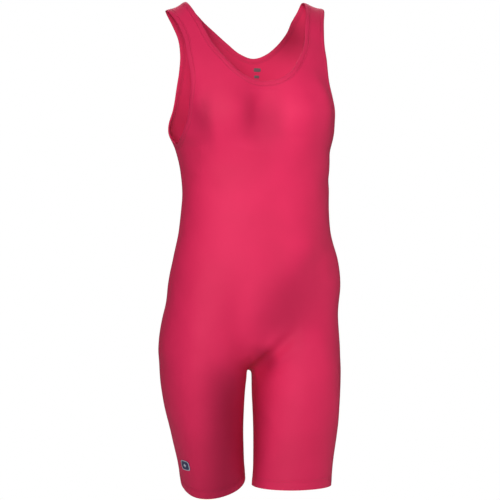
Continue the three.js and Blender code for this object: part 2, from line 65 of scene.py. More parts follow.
# The trunk's sections: z, x, y, half width, depth in front, depth behind, squareness, lean
TRUNK = np.array([
    (0, 0, 0, 170, 74, 40, 2.3, 0.05),
    (-60, 2, -8, 168, 84, 39, 2.3, 0.08),
    (-100, 3, -14, 164, 92, 43, 2.35, 0.09),
    (-150, 4, -20, 155, 99, 60, 2.45, 0.09),
    (-190, 4, -24, 147.5, 104, 76, 2.5, 0.06),
    (-230, 2, -25, 144.5, 105, 86, 2.45, 0.03),
    (-262, 5.5, -26, 135, 105, 90, 2.35, 0),
    (-300, 9, -27, 130.5, 100, 86, 2.3, 0),
    (-345, 10, -28, 130, 96, 84, 2.25, 0),
    (-400, 9.7, -27, 135, 98, 88, 2.2, 0),
    (-450, 12.3, -25, 147.3, 100, 99, 2.2, 0),
    (-500, 11.5, -22, 153.3, 100, 110, 2.2, 0),
    (-550, 8.2, -18, 148, 95, 115, 2.2, 0),
    (-600, 4, -15, 146, 80, 110, 2.2, 0),
    (-645, 2, -12, 140, 54, 92, 2.2, 0),
    (-700, 2, -12, 134, 36, 70, 2.2, 0),
], float)

# The legs' sections: z, x, y, half width, half depth
RIGHT_LEG = np.array([
    (-500, -78, -16, 66, 70),
    (-560, -78, -14, 71, 82),
    (-600, -79, -11, 73, 88),
    (-649, -79, -7, 73, 86),
    (-702, -74.7, 1, 68.3, 78),
    (-755, -66.7, 9, 61.3, 73),
    (-808, -57, 18, 56.5, 70),
    (-870, -47, 28, 53, 68),
], float)
LEFT_LEG = np.array([
    (-500, 80, -18, 66, 70),
    (-560, 82, -20, 74, 84),
    (-600, 84, -23, 76, 92),
    (-649, 86, -27, 76, 88),
    (-702, 83.7, -33, 76.3, 76),
    (-755, 80.7, -37, 73.5, 66),
    (-808, 76.8, -38, 70.5, 60),
    (-870, 72, -38, 69, 56),
], float)
LEG_SQUARE = 2.15
LEG_CAP = {"z": -530, "soft": 20}

# How the shoulders close over, the cups, and how soft the joins between trunk and legs are
SHOULDER = {"start": -150, "round": 2.2, "slope": 0.32, "tilt": 0.05, "neck": 107, "reach": 170, "most": 0.93}
BUST = {"x": 76, "z": -196, "height": 23, "across": 43, "above": 58, "below": 40, "from": 10, "to": 80}
CROTCH = {"soft": 26, "rise": 4}
JOIN = {"hip": 13, "crotch": 4, "high": -605, "low": -655}

# Finished neck edge from the middle of the front over the left shoulder to the middle of the back, with x from
# the trunk's middle: x, y, z, shift to the left
NECK = np.array([
    (0, -126, -148, 0),
    (24, -126, -145, 0),
    (46, -122, -133.5, 0),
    (64, -111, -112, 0),
    (82, -90, -84, 0),
    (96, -59, -41, 0),
    (107, 0, 0, 0),
    (96.5, 15, -12, 6.5),
    (80.5, 22, -32, 10.5),
    (67.5, 25, -48, 15.5),
    (48, 26, -68, 18),
    (25, 27, -86, 18),
    (0, 27, -94, 18),
], float)
NECK_CREST = 6
NECK_CORNER = {"front": 3, "back": 9}

# Finished armhole edge from the armpit up the front, over the shoulder and down the back
ARMHOLE = np.array([
    (137, -25, -252, 0),
    (135, -62, -241, 0),
    (131, -88, -222, 0),
    (128.5, -98, -196, 0),
    (124, -98, -152, 0),
    (125, -78, -104, 0),
    (128, -60, -68, 0),
    (136, -32, -35, 0),
    (146, 0, -14, 0),
    (140, 8, -24, 0),
    (131, 13, -41, 0),
    (122, 16, -64, 0),
    (119.5, 17, -92, 0),
    (121.5, 19, -122, 0),
    (127, 21, -154, 0),
    (132, 17, -186, 0),
    (137, 5, -218, 0),
], float)
ARMHOLE_CREST = 8
ARMHOLE_CORNERS = {"front": (2.3, 5), "back": (15.7, 12.3)}
NECK_CENTRE = np.array([(0, -40, -30, 0)], float)
ARMHOLE_CENTRE = np.array([(150, -38, -130, 0)], float)

# The planes in which the leg hems lie: z, rise to the side, rise to the back
RIGHT_HEM = (-838.5, 0.28, 0.3)
LEFT_HEM = (-845.5, 0, 0.03)

# The grid of each quarter, DETAIL times as fine as the solids'
DETAIL = 5
COLUMNS = 12 * DETAIL
NECK_COLUMNS = 5 * DETAIL
UNDERARM_COLUMNS = 3 * DETAIL
STRAP_COLUMNS = COLUMNS - NECK_COLUMNS - UNDERARM_COLUMNS
ROWS = {"hem": 2 * DETAIL, "leg": 11 * DETAIL, "hip": 9 * DETAIL, "waist": 17 * DETAIL,
        "chest": 7 * DETAIL, "strap": 9 * DETAIL}
FINE = 240
LOOP_STEPS = 48

# Creases pressed or pulled into the cloth, each along a bow through three points: start, middle, end, how wide,
# how deep (below 0 a trough, above 0 a ridge) and how much the cloth swells beside it
CREASES = [
    ((4, -42, -643), (22, -93, -612), (62, -113, -566), 7.5, -5.6, 0.3),
    ((10, -52, -652), (30, -86, -636), (52, -100, -626), 7, -2.6, 0.3),
    ((-49, -115, -500), (-43, -108, -562), (-26, -84, -616), 19, -6.5, 0.1),
    ((-116, -90, -480), (-116, -92, -560), (-114, -84, -650), 22, 4.5, 0),
    ((-92, -14, -870), (-110, -64, -725), (-118, -84, -610), 24, 4.5, 0),
    ((-40, -72, -700), (-34, -48, -760), (-30, -26, -830), 13, -1.6, 0),
    ((92, -108, -425), (45, -122, -462), (14, -118, -522), 18, 3.0, 0),
    ((126, -96, -436), (103, -106, -494), (73, -112, -560), 32, -5.8, 0),
    ((116, -98, -448), (120, -94, -468), (120, -92, -492), 12, 1.6, 0),
    ((44, -108, -614), (76, -112, -600), (112, -96, -586), 17, 3.0, 0),
    ((66, -98, -850), (68, -104, -730), (64, -112, -620), 26, 4.0, 0),
    ((56, -122, -456), (62, -120, -390), (64, -116, -310), 26, 3.0, 0),
    ((58, -136, -166), (57, -144, -204), (54, -138, -244), 25, 3.0, 0),
    ((-14, -138, -162), (-19, -142, -206), (-30, -137, -268), 20, -11.0, 0),
    ((-118, -110, -166), (-117, -116, -196), (-104, -123, -234), 11, 4.4, 0),
    ((94, -122, -150), (102, -113, -192), (98, -108, -242), 14, 5.5, 0),
    ((-132, -62, -266), (-116, -96, -258), (-92, -122, -246), 7, -1.1, 0.4),
    ((136, -62, -266), (124, -92, -262), (104, -112, -256), 7, -0.9, 0.4),
    ((-128, -30, -306), (-112, -82, -322), (-84, -108, -330), 9, -0.8, 0.5),
    ((138, -30, -300), (126, -78, -318), (98, -104, -330), 9, -0.9, 0.5),
    ((-70, 52, -322), (8, 60, -334), (84, 52, -322), 8, -1.5, 0.6),
    ((-48, 56, -352), (20, 58, -362), (96, 46, -350), 9, -1.3, 0.6),
    ((-92, 44, -296), (-36, 58, -302), (22, 62, -296), 8, -1.0, 0.6),
    ((-140, 10, -520), (-128, 66, -560), (-96, 92, -590), 12, -1.0, 0.4),
    ((-128, 40, -648), (-82, 84, -664), (-28, 70, -668), 11, -2.4, 0.4),
    ((132, 34, -650), (84, 66, -668), (28, 60, -668), 11, -2.4, 0.4),
    ((-22, 66, -672), (-58, 80, -690), (-96, 74, -704), 8, -1.2, 0.5),
    ((24, 54, -676), (60, 54, -700), (96, 40, -712), 8, -1.2, 0.5),
    ((-106, -60, -748), (-72, -66, -742), (-34, -40, -736), 10, -0.6, 0.5),
    ((44, -88, -716), (80, -104, -722), (122, -86, -716), 12, -0.5, 0.4),
    ((-64, 30, -130), (4, 42, -142), (70, 32, -132), 10, -0.8, 0.5),
    ((-110, 34, -214), (-84, 54, -230), (-50, 62, -236), 9, -1.0, 0.5),
    ((116, 34, -214), (92, 52, -230), (60, 60, -236), 9, -1.0, 0.5),
    ((-110, -34, -22), (-112, 0, -2), (-106, 16, -22), 8, 2.8, 0),
    ((-132, -26, -22), (-132, 0, -8), (-126, 14, -28), 7, -1.2, 0),
    ((126, -26, -20), (126, 0, -4), (120, 14, -26), 7, -1.1, 0),
    ((142, -24, -24), (143, 0, -11), (138, 9, -26), 6, 1.2, 0),
]
CREASE_POINTS = 14

# Slow unevenness of the cloth all over: how deep, then the length of a wave along X, Y and Z
DRIFTS = [
    (0.35, 190, 160, 230),
    (0.25, -130, 210, 150),
    (0.15, 95, -120, 110),
]

# A folded band cut across: distance from the finished edge and height over the cloth's face
BAND_PROFILE = [
    (0.0, -0.9), (0.12, -0.4), (0.5, 0.05), (1.2, 0.35), (2.6, 0.5), (4.4, 0.55), (6.2, 0.5), (7.2, 0.3),
    (7.7, -0.1), (8.1, -0.25), (8.5, -0.1), (9.1, 0.25), (9.9, 0.3), (10.6, 0.0), (10.65, -1.0), (10.6, -1.95),
    (9.4, -2.15), (8.1, -1.75), (7.0, -2.1), (4.4, -2.3), (1.2, -2.15), (0.5, -1.85), (0.12, -1.4),
]
BAND_SEAM = 8.1
BAND_SINK = -0.12

# The rows of stitches round a leg hem, up from its edge
HEM_SEAMS = (13.6, 17.2)

# The badge on the outside of the right leg, placed in the solids' rows and columns
BADGE = {"row": 2.2, "column": 10.4, "high": 18, "wide": 28, "thick": 0.7, "corner": 4, "around": 72}
# The badge's rings from the middle out: share of its size and height over the cloth
BADGE_RINGS = [
    (0.25, 0.86), (0.5, 0.86), (0.7, 0.86), (0.84, 0.86), (0.87, 0.98), (0.95, 1.0), (0.99, 0.88), (1.0, 0.6),
    (1.0, 0.3),
]

# The plain print inside the back of the neck: middle's x and z, half width, half height
NECK_PRINTS = [
    (33, -114, 6.5, 3.4),
    (33, -126.5, 4.6, 2.6),
]


def smooth(value, low, high):
    share = np.clip((value - low) / (high - low), 0, 1)
    return share * share * (3 - 2 * share)


def bell(distance, spread):
    return np.exp(-0.5 * (distance / spread) ** 2)


def section(rows, z):
    """A table's columns at height z, each by a smooth cubic through the rows around it."""
    table = rows[::-1]
    heights, values = table[:, 0], table[:, 1:]
    count = len(heights)
    before = np.maximum(np.arange(count) - 1, 0)
    after = np.minimum(np.arange(count) + 1, count - 1)
    slope = (values[after] - values[before]) / (heights[after] - heights[before])[:, None]
    at = np.clip(z, heights[0], heights[-1])
    i = np.clip(np.searchsorted(heights, at, side="right") - 1, 0, count - 2)
    span = heights[i + 1] - heights[i]
    t = ((at - heights[i]) / span)[..., None]
    span = span[..., None]
    rise = values[i + 1] - values[i]
    leave, arrive = span * slope[i], span * slope[i + 1]
    found = values[i] + t * (leave + t * (3 * rise - 2 * leave - arrive + t * (leave + arrive - 2 * rise)))
    return np.moveaxis(found, -1, 0)


def soft_max(a, b, soft):
    return soft * np.logaddexp(a / soft, b / soft)


def trunk(points):
    """How far outside the trunk points lie, less than 0 inside."""
    x, y, wide, front, back, square, lean = section(TRUNK, points[..., 2])
    along = points[..., 1] - y
    across = points[..., 0] - x - lean * along
    deep = np.where(along < 0, front, back)
    oval = (np.abs(across / wide) ** square + np.abs(along / deep) ** square) ** (1 / square)
    power = SHOULDER["round"]
    up = np.maximum(points[..., 2] - SHOULDER["start"], 0)
    top = SHOULDER["slope"] * (SHOULDER["neck"] - np.abs(across)) + SHOULDER["tilt"] * across
    out = np.minimum(np.abs(across) / SHOULDER["reach"], SHOULDER["most"])
    rise = up * (1 - out ** power) ** (1 / power) / (top - SHOULDER["start"])
    ratio = np.maximum((oval ** power + rise ** power) ** (1 / power), 1e-3)
    body = np.sqrt(across ** 2 + along ** 2 + up ** 2) * (1 - 1 / ratio)
    height = points[..., 2] - BUST["z"]
    upright = bell(height, np.where(height > 0, BUST["above"], BUST["below"]))
    cups = bell(across - BUST["x"], BUST["across"]) + bell(across + BUST["x"], BUST["across"])
    bust = BUST["height"] * upright * cups * smooth(-along, BUST["from"], BUST["to"])
    return soft_max(body - bust, -CROTCH_DROP - points[..., 2], CROTCH["soft"])


def leg(points, rows):
    """How far outside one leg points lie."""
    x, y, wide, deep = section(rows, points[..., 2])
    across, along = points[..., 0] - x, points[..., 1] - y
    total = np.abs(across / wide) ** LEG_SQUARE + np.abs(along / deep) ** LEG_SQUARE
    ratio = np.maximum(total ** (1 / LEG_SQUARE), 1e-3)
    body = np.hypot(across, along) * (1 - 1 / ratio)
    return soft_max(body, points[..., 2] - LEG_CAP["z"], LEG_CAP["soft"])


def form(points):
    """How far outside the filled-out garment points lie."""
    share = smooth(points[..., 2], JOIN["low"], JOIN["high"])
    soft = JOIN["crotch"] + (JOIN["hip"] - JOIN["crotch"]) * share
    parts = [trunk(points), leg(points, RIGHT_LEG), leg(points, LEFT_LEG)]
    return -soft * np.logaddexp.reduce([-part / soft for part in parts], axis=0)


def rate(points, probe=0.5):
    steps = probe * np.eye(3)
    return np.stack([(form(points + s) - form(points - s)) / (2 * probe) for s in steps], -1)


def unit(vectors):
    return vectors / np.maximum(np.linalg.norm(vectors, axis=-1, keepdims=True), 1e-12)


def outward(points):
    return unit(rate(points))


def onto(points, passes=9, least_rate=0.05, longest=15):
    """The points of the form's surface that nearby points come down or up to."""
    moved = np.array(points, float)
    for _ in range(passes):
        away = rate(moved)
        move = away * (form(moved) / np.maximum((away ** 2).sum(-1), least_rate))[..., None]
        length = np.linalg.norm(move, axis=-1, keepdims=True)
        moved -= move * np.minimum(1, longest / np.maximum(length, 1e-9))
    return moved


def cast(origin, direction, stride=8, halvings=14):
    """The first surface points that rays from inside the form reach."""
    far = np.full(len(direction), float(stride))
    inside = np.ones(len(direction), bool)
    while inside.any():
        inside &= form(origin + direction * far[:, None]) < 0
        far[inside] += stride
    near = far - stride
    for _ in range(halvings):
        middle = (near + far) / 2
        within = form(origin + direction * middle[:, None]) < 0
        near, far = np.where(within, middle, near), np.where(within, far, middle)
    return origin + direction * near[:, None]


def mix(a, b, share):
    return a * (1 - share) + b * share


def place(rows, side):
    """Rows of an edge's table as points on the left side, or their mirror image on the right."""
    x, y, z, shift = rows.T
    middle = section(TRUNK, z)
    tilt = SHOULDER["tilt"] * side * x * smooth(z, SHOULDER["start"], 0)
    return np.stack([middle[0] + middle[6] * (y - middle[1]) + shift + side * x, y, z + tilt], -1)


def run_of(line):
    return np.concatenate([[0], np.cumsum(np.linalg.norm(np.diff(line, axis=0), axis=1))])


def places(line, start, end, steps):
    """Even places along a stretch of a line, as fractional indices."""
    low, high = sorted((start, end))
    run = run_of(line[low:high + 1])
    found = np.interp(np.linspace(0, run[-1], steps + 1), run, np.arange(low, high + 1))
    return found if start < end else found[::-1]


def point_at(line, index):
    i = np.minimum(np.floor(index).astype(int), len(line) - 2)
    return mix(line[i], line[i + 1], (index - i)[:, None])


def evenly(line, steps):
    return point_at(line, places(line, 0, len(line) - 1, steps))


def over_surface(start, end, steps):
    """Even steps over the surface between two of its points."""
    share = np.linspace(0, 1, FINE + 1)[:, None]
    return evenly(onto(mix(start, end, share)), steps)


def closed_curve(corners, steps):
    """A smooth closed curve through its corners, as centripetal cubics."""
    shares = np.linspace(0, 1, steps, endpoint=False)[:, None]
    made = []
    for i in range(len(corners)):
        p = [corners[(i + k - 1) % len(corners)] for k in range(4)]
        d = [np.linalg.norm(p[k + 1] - p[k]) ** 0.5 for k in range(3)]
        leave = ((p[1] - p[0]) / d[0] - (p[2] - p[0]) / (d[0] + d[1]) + (p[2] - p[1]) / d[1]) * d[1]
        arrive = ((p[2] - p[1]) / d[1] - (p[3] - p[1]) / (d[1] + d[2]) + (p[3] - p[2]) / d[2]) * d[1]
        rise = p[2] - p[1]
        bend = 3 * rise - 2 * leave - arrive
        made.append(p[1] + shares * (leave + shares * (bend + shares * (leave + arrive - 2 * rise))))
    return np.concatenate([*made, corners[:1]])


def edge_loop(corners, centre):
    """A closed edge on the surface, its direction along and into the cloth."""
    edge = onto(closed_curve(corners, LOOP_STEPS))
    ahead = np.concatenate([edge[1:], edge[1:2]])
    behind = np.concatenate([edge[-2:-1], edge[:-1]])
    along = unit(ahead - behind)
    normal = outward(edge)
    away = edge - centre
    away -= (away * normal).sum(-1, keepdims=True) * normal
    away = unit(away - (away * along).sum(-1, keepdims=True) * along)
    return {"edge": edge, "away": away, "panel": onto(edge + away * (BAND_WIDTH + SEAM_GAP))}


def neck_loop():
    corners = np.concatenate([place(NECK, 1), place(NECK[1:-1][::-1], -1)])
    return edge_loop(corners, place(NECK_CENTRE, 1))


def armhole_loop(side):
    return edge_loop(place(ARMHOLE, side), place(ARMHOLE_CENTRE, side))


def fill(bottom, top, inner, outer):
    """A grid of surface points that fills four edges: bottom and top run outwards, inner and outer run up."""
    up = np.linspace(0, 1, len(inner))[:, None, None]
    out = np.linspace(0, 1, len(bottom))[None, :, None]
    corners = mix(mix(bottom[0], bottom[-1], out), mix(top[0], top[-1], out), up)
    return onto(mix(bottom[None], top[None], up) + mix(inner[:, None], outer[:, None], out) - corners)


def trunk_path(side, face, start, end, steps):
    """A line over the trunk from one height and share of the way round to another."""
    share = np.linspace(0, 1, FINE + 1)
    z = mix(start[0], end[0], share)
    turn = mix(start[1], end[1], share) * math.pi / 2
    x, y, wide, front, back, _, lean = section(TRUNK, z)
    along = np.where(face == "front", -front, back) * np.cos(turn)
    direction = np.stack([side * wide * np.sin(turn) + lean * along, along, 0 * z], -1)
    return evenly(cast(np.stack([x, y, z], -1), unit(direction)), steps)


def share_of(point, face):
    """Where a surface point lies between the middle and the side seam, from 0 to 1."""
    x, y, wide, front, back, _, lean = section(TRUNK, point[2])
    along = point[1] - y
    out = abs(point[0] - x - lean * along) / wide
    return math.atan2(out, abs(along) / (front if face == "front" else back)) / (math.pi / 2)


def leg_row(rows, plane, side, face, lift=0.0, steps=COLUMNS):
    """Half a leg's ring from the inseam to the side, in a plane that may tilt, lifted above it."""
    height, rise_x, rise_y = plane
    _, _, wide, deep = section(rows, np.array(height))
    turn = math.pi * (1 - np.linspace(0, 1, FINE + 1))
    out = side * np.cos(turn)
    along = (-1 if face == "front" else 1) * np.sin(turn)
    z = height + rise_x * out * wide + rise_y * along * deep
    x, y, wide, deep = section(rows, z)
    return evenly(onto(np.stack([x + out * wide, y + along * deep, z + lift], -1)), steps)


def leg_line(rows, direction, low, high):
    """A line up a leg between two of its points, at the inside or the outside of its sections."""
    z = np.linspace(low[2], high[2], FINE + 1)
    x, y, wide, _ = section(rows, z)
    line = onto(np.stack([x + direction * wide, y, z], -1))
    return np.concatenate([[low], line[1:-1], [high]])


def crotch_line(face):
    """The middle of one panel from the point where the four leg seams meet up to the hips."""
    x, y = section(TRUNK, np.array(-float(HIP_DROP)))[:2]
    origin = np.array([x, y, -HIP_DROP])
    under = unit(np.array([section(TRUNK, np.array(-float(CROTCH_DROP)))[0] - x, 0, HIP_DROP - CROTCH_DROP]))
    toward = np.array([0, -1 if face == "front" else 1, 0])
    turn = np.linspace(0, math.pi / 2, FINE + 1)[:, None]
    return cast(origin, under * np.cos(turn) + toward * np.sin(turn))


def quarter(side, face, neck, armhole):
    """The patches of one quarter, the front or back of one side, from the leg hem up to the shoulder seam."""
    leg_rows = LEFT_LEG if side > 0 else RIGHT_LEG
    plane = LEFT_HEM if side > 0 else RIGHT_HEM
    turned = lambda row: round(LOOP_STEPS * (row if side > 0 else 2 * (len(NECK) - 1) - row))
    middle = 0 if face == "front" else len(NECK) - 1
    corner = turned(NECK_CORNER[face])
    on_neck = lambda start, end, steps: point_at(neck["panel"], places(neck["panel"], start, end, steps))
    on_armhole = lambda start, end, steps: point_at(armhole["panel"], places(armhole["panel"], start, end, steps))
    path = lambda start, end, steps: trunk_path(side, face, start, end, steps)
    armpit = LOOP_STEPS * (0 if face == "front" else len(ARMHOLE))
    under_at, foot_at = (round(LOOP_STEPS * row) for row in ARMHOLE_CORNERS[face])

    yoke = on_neck(turned(middle), corner, NECK_COLUMNS)
    neck_side = on_neck(corner, turned(NECK_CREST), ROWS["strap"])
    arm_side = on_armhole(foot_at, LOOP_STEPS * ARMHOLE_CREST, ROWS["strap"])
    strap_foot = over_surface(neck_side[0], arm_side[0], STRAP_COLUMNS)
    shoulder = over_surface(neck_side[-1], arm_side[-1], STRAP_COLUMNS)
    strap = fill(strap_foot, shoulder, neck_side, arm_side)

    chest_side = on_armhole(under_at, foot_at, ROWS["chest"])
    chest_top = np.concatenate([yoke, strap_foot[1:]])
    foot = (-float(CHEST_DROP[face]), 0.0)
    underarm = (chest_side[0][2], share_of(chest_side[0], face))
    chest_row = np.concatenate([path(foot, underarm, len(chest_top) - 1)[:-1], chest_side[:1]])
    chest_middle = np.concatenate([path(foot, (yoke[0][2], 0.0), ROWS["chest"])[:-1], yoke[:1]])
    chest = fill(chest_row, chest_top, chest_middle, chest_side)

    under = on_armhole(armpit, under_at, UNDERARM_COLUMNS)[::-1]
    hips = -float(HIP_DROP)
    waist_top = np.concatenate([chest_row, under[1:]])
    hip_row = path((hips, 0.0), (hips, 1.0), COLUMNS)
    waist_middle = path((hips, 0.0), foot, ROWS["waist"])
    waist_side = np.concatenate([path((hips, 1.0), (under[-1][2], 1.0), ROWS["waist"])[:-1], under[-1:]])
    waist = fill(hip_row, waist_top, waist_middle, waist_side)

    centre = crotch_line(face)
    ring = leg_row(leg_rows, (-float(LEG_TOP_DROP), 0, 0), side, face)
    near = np.maximum(1 - CROTCH["rise"] * np.arange(COLUMNS + 1) / COLUMNS, 0) ** 2
    raised = onto(ring + (centre[0] - ring[0]) * near[:, None])
    leg_top = evenly(np.concatenate([centre[:1], raised[1:]]), COLUMNS)
    hip_side = over_surface(leg_top[-1], hip_row[-1], ROWS["hip"])
    hip_middle = evenly(np.concatenate([centre[:-1], hip_row[:1]]), ROWS["hip"])
    hip = fill(leg_top, hip_row, hip_middle, hip_side)

    hem_edge = leg_row(leg_rows, plane, side, face)
    hem_top = leg_row(leg_rows, plane, side, face, HEM_WIDTH)
    hem = fill(hem_edge, hem_top, over_surface(hem_edge[0], hem_top[0], ROWS["hem"]),
               over_surface(hem_edge[-1], hem_top[-1], ROWS["hem"]))
    arch = over_surface(ring[0], centre[0], FINE)[1:]
    inseam = evenly(np.concatenate([leg_line(leg_rows, -side, hem_top[0], ring[0]), arch]), ROWS["leg"])
    outseam = evenly(leg_line(leg_rows, side, hem_top[-1], leg_top[-1]), ROWS["leg"])
    return {"hem": hem, "leg": fill(hem_top, leg_top, inseam, outseam), "hip": hip, "waist": waist,
            "chest": chest, "strap": strap}


@functools.cache
def layout():
    """The edges of the openings and the patches of all four quarters, worked out once."""
    neck = neck_loop()
    armholes = {side: armhole_loop(side) for side in (-1, 1)}
    quarters = {(side, face): quarter(side, face, neck, armholes[side])
                for side in (-1, 1) for face in ("front", "back")}
    return neck, armholes, quarters


def along_line(points, line):
    """How far points lie from a line of short straight pieces, and how far along it the nearest place is."""
    nearest = np.full(len(points), np.inf)
    place_on = np.zeros(len(points))
    for i, (start, end) in enumerate(zip(line[:-1], line[1:])):
        step = end - start
        share = np.clip((points - start) @ step / (step @ step), 0, 1)
        apart = np.linalg.norm(points - start - share[:, None] * step, axis=1)
        nearer = apart < nearest
        nearest[nearer] = apart[nearer]
        place_on[nearer] = (i + share[nearer]) / (len(line) - 1)
    return nearest, place_on


def relief(points, strength):
    """How far creases and the cloth's slow unevenness lift points off the form."""
    flat = points.reshape(-1, 3)
    lift = np.zeros(len(flat))
    share = np.linspace(0, 1, CREASE_POINTS)[:, None]
    for start, middle, end, width, depth, swell in CREASES:
        start, middle, end = (np.array(p, float) for p in (start, middle, end))
        bow = 2 * middle - (start + end) / 2
        line = mix(mix(start, bow, share), mix(bow, end, share), share)
        near = np.linalg.norm(flat - middle, axis=1) < 4 * width + np.linalg.norm(start - end)
        distance, at = along_line(flat[near], line)
        taper = np.sin(math.pi * (0.15 + 0.85 * at)) ** 0.8
        beside = swell * bell(distance - 2.1 * width, 0.9 * width)
        lift[near] += depth * taper * (bell(distance, width) - beside)
    for depth, *waves in DRIFTS:
        phase = (flat / np.array(waves, float)).sum(1) * 2 * math.pi
        lift += depth * np.sin(phase + 1.3 * np.sin(0.7 * phase + depth))
    return strength * lift.reshape(points.shape[:-1])


def draped(points, strength):
    """Points of the form's surface with the creases in them, and the directions out of the cloth."""
    normal = outward(points)
    return points + normal * relief(points, strength)[..., None], normal


def deselect():
    for item in bpy.context.selected_objects:
        item.select_set(False)


def finish_piece(piece, material, slot, *nodes):
    """Gives a finished mesh its material and its place in the frame."""
    for one in np.atleast_1d(material):
        piece.data.materials.append(one)
    deselect()
    piece.select_set(True)
    bpy.context.view_layer.objects.active = piece
    bpy.ops.object.shade_smooth_by_angle(angle=math.radians(55))
    piece.select_set(False)
    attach(piece, "root")
    if nodes:
        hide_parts(*nodes)
    return piece


def new_mesh(name, points, faces, corner_uvs=None):
    """An object from points in millimetres, with its faces' corners laid out on the knit in metres."""
    mesh = bpy.data.meshes.new(name)
    mesh.from_pydata((points * METRES).tolist(), [], faces)
    if corner_uvs is not None:
        layer = mesh.uv_layers.new(name="knit")
        layer.data.foreach_set("uv", (np.asarray(corner_uvs, np.float32) * METRES).ravel())
    mesh.validate()
    piece = bpy.data.objects.new(name, mesh)
    bpy.context.scene.collection.objects.link(piece)
    return piece


def weld(points):
    """For each point the first of those in the same place."""
    tree = KDTree(len(points))
    for i, point in enumerate(points):
        tree.insert(point, i)
    tree.balance()
    return np.array([min(found[1] for found in tree.find_range(point, SAME_POINT)) for point in points])


def knit_layout(patches):
    """Each patch's corners on the flat knit: across from its first column, and up from the hem."""
    laid, base = {}, 0.0
    for name, grid in patches.items():
        across = np.linalg.norm(np.diff(grid, axis=1), axis=-1)
        across = np.concatenate([np.zeros((len(grid), 1)), np.cumsum(across, axis=1)], axis=1)
        up = np.linalg.norm(np.diff(grid, axis=0), axis=-1).mean(1)
        height = base + np.concatenate([[0], np.cumsum(up)])
        laid[name] = np.stack([across, np.broadcast_to(height[:, None], across.shape)], -1)
        base = height[-1]
    return laid


def panel(name, face, settings):
    """One panel of cloth: both its quarters welded, creased, and closed round its edges."""
    quarters = layout()[2]
    points, thick, pull, quads, uvs = [], [], [], [], []
    for side in (-1, 1):
        patches = quarters[side, face]
        laid = knit_layout(patches)
        for stretch, grid in patches.items():
            rows, columns = grid.shape[:2]
            index = np.arange(rows * columns).reshape(rows, columns) + sum(len(p) for p in points)
            points.append(grid.reshape(-1, 3))
            thick.append(np.full(rows * columns, HEM_CLOTH if stretch == "hem" else CLOTH))
            sunk = np.zeros((rows, columns))
            if stretch in ("hem", "leg", "hip", "waist"):
                sunk[:, -1] = 1
            if stretch in ("hem", "leg"):
                sunk[:, 0] = 1
            if stretch == "strap":
                sunk[-1] = 1
            pull.append(sunk.ravel())
            corners = [index[:-1, :-1], index[:-1, 1:], index[1:, 1:], index[1:, :-1]]
            spread = laid[stretch]
            flat = [spread[:-1, :-1], spread[:-1, 1:], spread[1:, 1:], spread[1:, :-1]]
            if (side > 0) != (face == "front"):
                corners, flat = corners[::-1], flat[::-1]
            quads.append(np.stack(corners, -1).reshape(-1, 4))
            uvs.append(np.stack(flat, -2).reshape(-1, 4, 2) * (side, 1))
    points, thick, pull = (np.concatenate(part) for part in (points, thick, pull))
    quads, uvs = np.concatenate(quads), np.concatenate(uvs)
    first = weld(points)
    kept, index = np.unique(first, return_inverse=True)
    quads = index[quads]
    sound = np.array([len(set(quad)) == 4 for quad in quads])
    triangles = [tuple(dict.fromkeys(quad)) for quad in quads[~sound]]
    triangle_uvs = [[corner[list(quad).index(v)] for v in dict.fromkeys(quad)]
                    for quad, corner in zip(quads[~sound], uvs[~sound])]
    quads, uvs = quads[sound], uvs[sound]
    points, thick, pull = points[kept], thick[kept], pull[kept]
    outer, normal = draped(points, settings.crease_strength)
    outer = outer + normal * (hem_puff(points) - settings.seam_sink * 1000 * pull)[:, None]
    inner = outer - normal * thick[:, None]
    count = len(points)
    faces = [*map(tuple, quads.tolist()), *triangles]
    edges = {}
    for f in faces:
        for a, b in zip(f, f[1:] + f[:1]):
            edges[a, b] = True
    rim = [edge for edge in edges if edge[::-1] not in edges]
    every = faces + [tuple(v + count for v in f[::-1]) for f in faces]
    every += [(b, a, a + count, b + count) for a, b in rim]
    flat = [corner for face_uvs in [*uvs.tolist(), *triangle_uvs] for corner in face_uvs]
    inside = [corner for face_uvs in [*uvs.tolist(), *triangle_uvs] for corner in face_uvs[::-1]]
    return new_mesh(name, np.concatenate([outer, inner]), every, flat + inside + [(0, 0)] * (4 * len(rim)))


def hem_height(points):
    """How far points lie above their leg's hem."""
    x, y, z = points.T
    heights = np.full(len(points), 1e3)
    for rows, plane, near in ((RIGHT_LEG, RIGHT_HEM, x < 0), (LEFT_LEG, LEFT_HEM, x >= 0)):
        height, rise_x, rise_y = plane
        at_x, at_y, _, _ = section(rows, z)
        heights = np.where(near, z - height - rise_x * (x - at_x) - rise_y * (y - at_y), heights)
    return heights


def hem_puff(points):
    """The turned hem stands a little proud, and its two rows of stitches pull it in."""
    height = hem_height(points)
    puff = 0.35 * smooth(height, 22, 18)
    groove = sum(bell(height - seam, 1.1) for seam in HEM_SEAMS)
    return np.where(height < 40, puff - 0.45 * groove, 0)


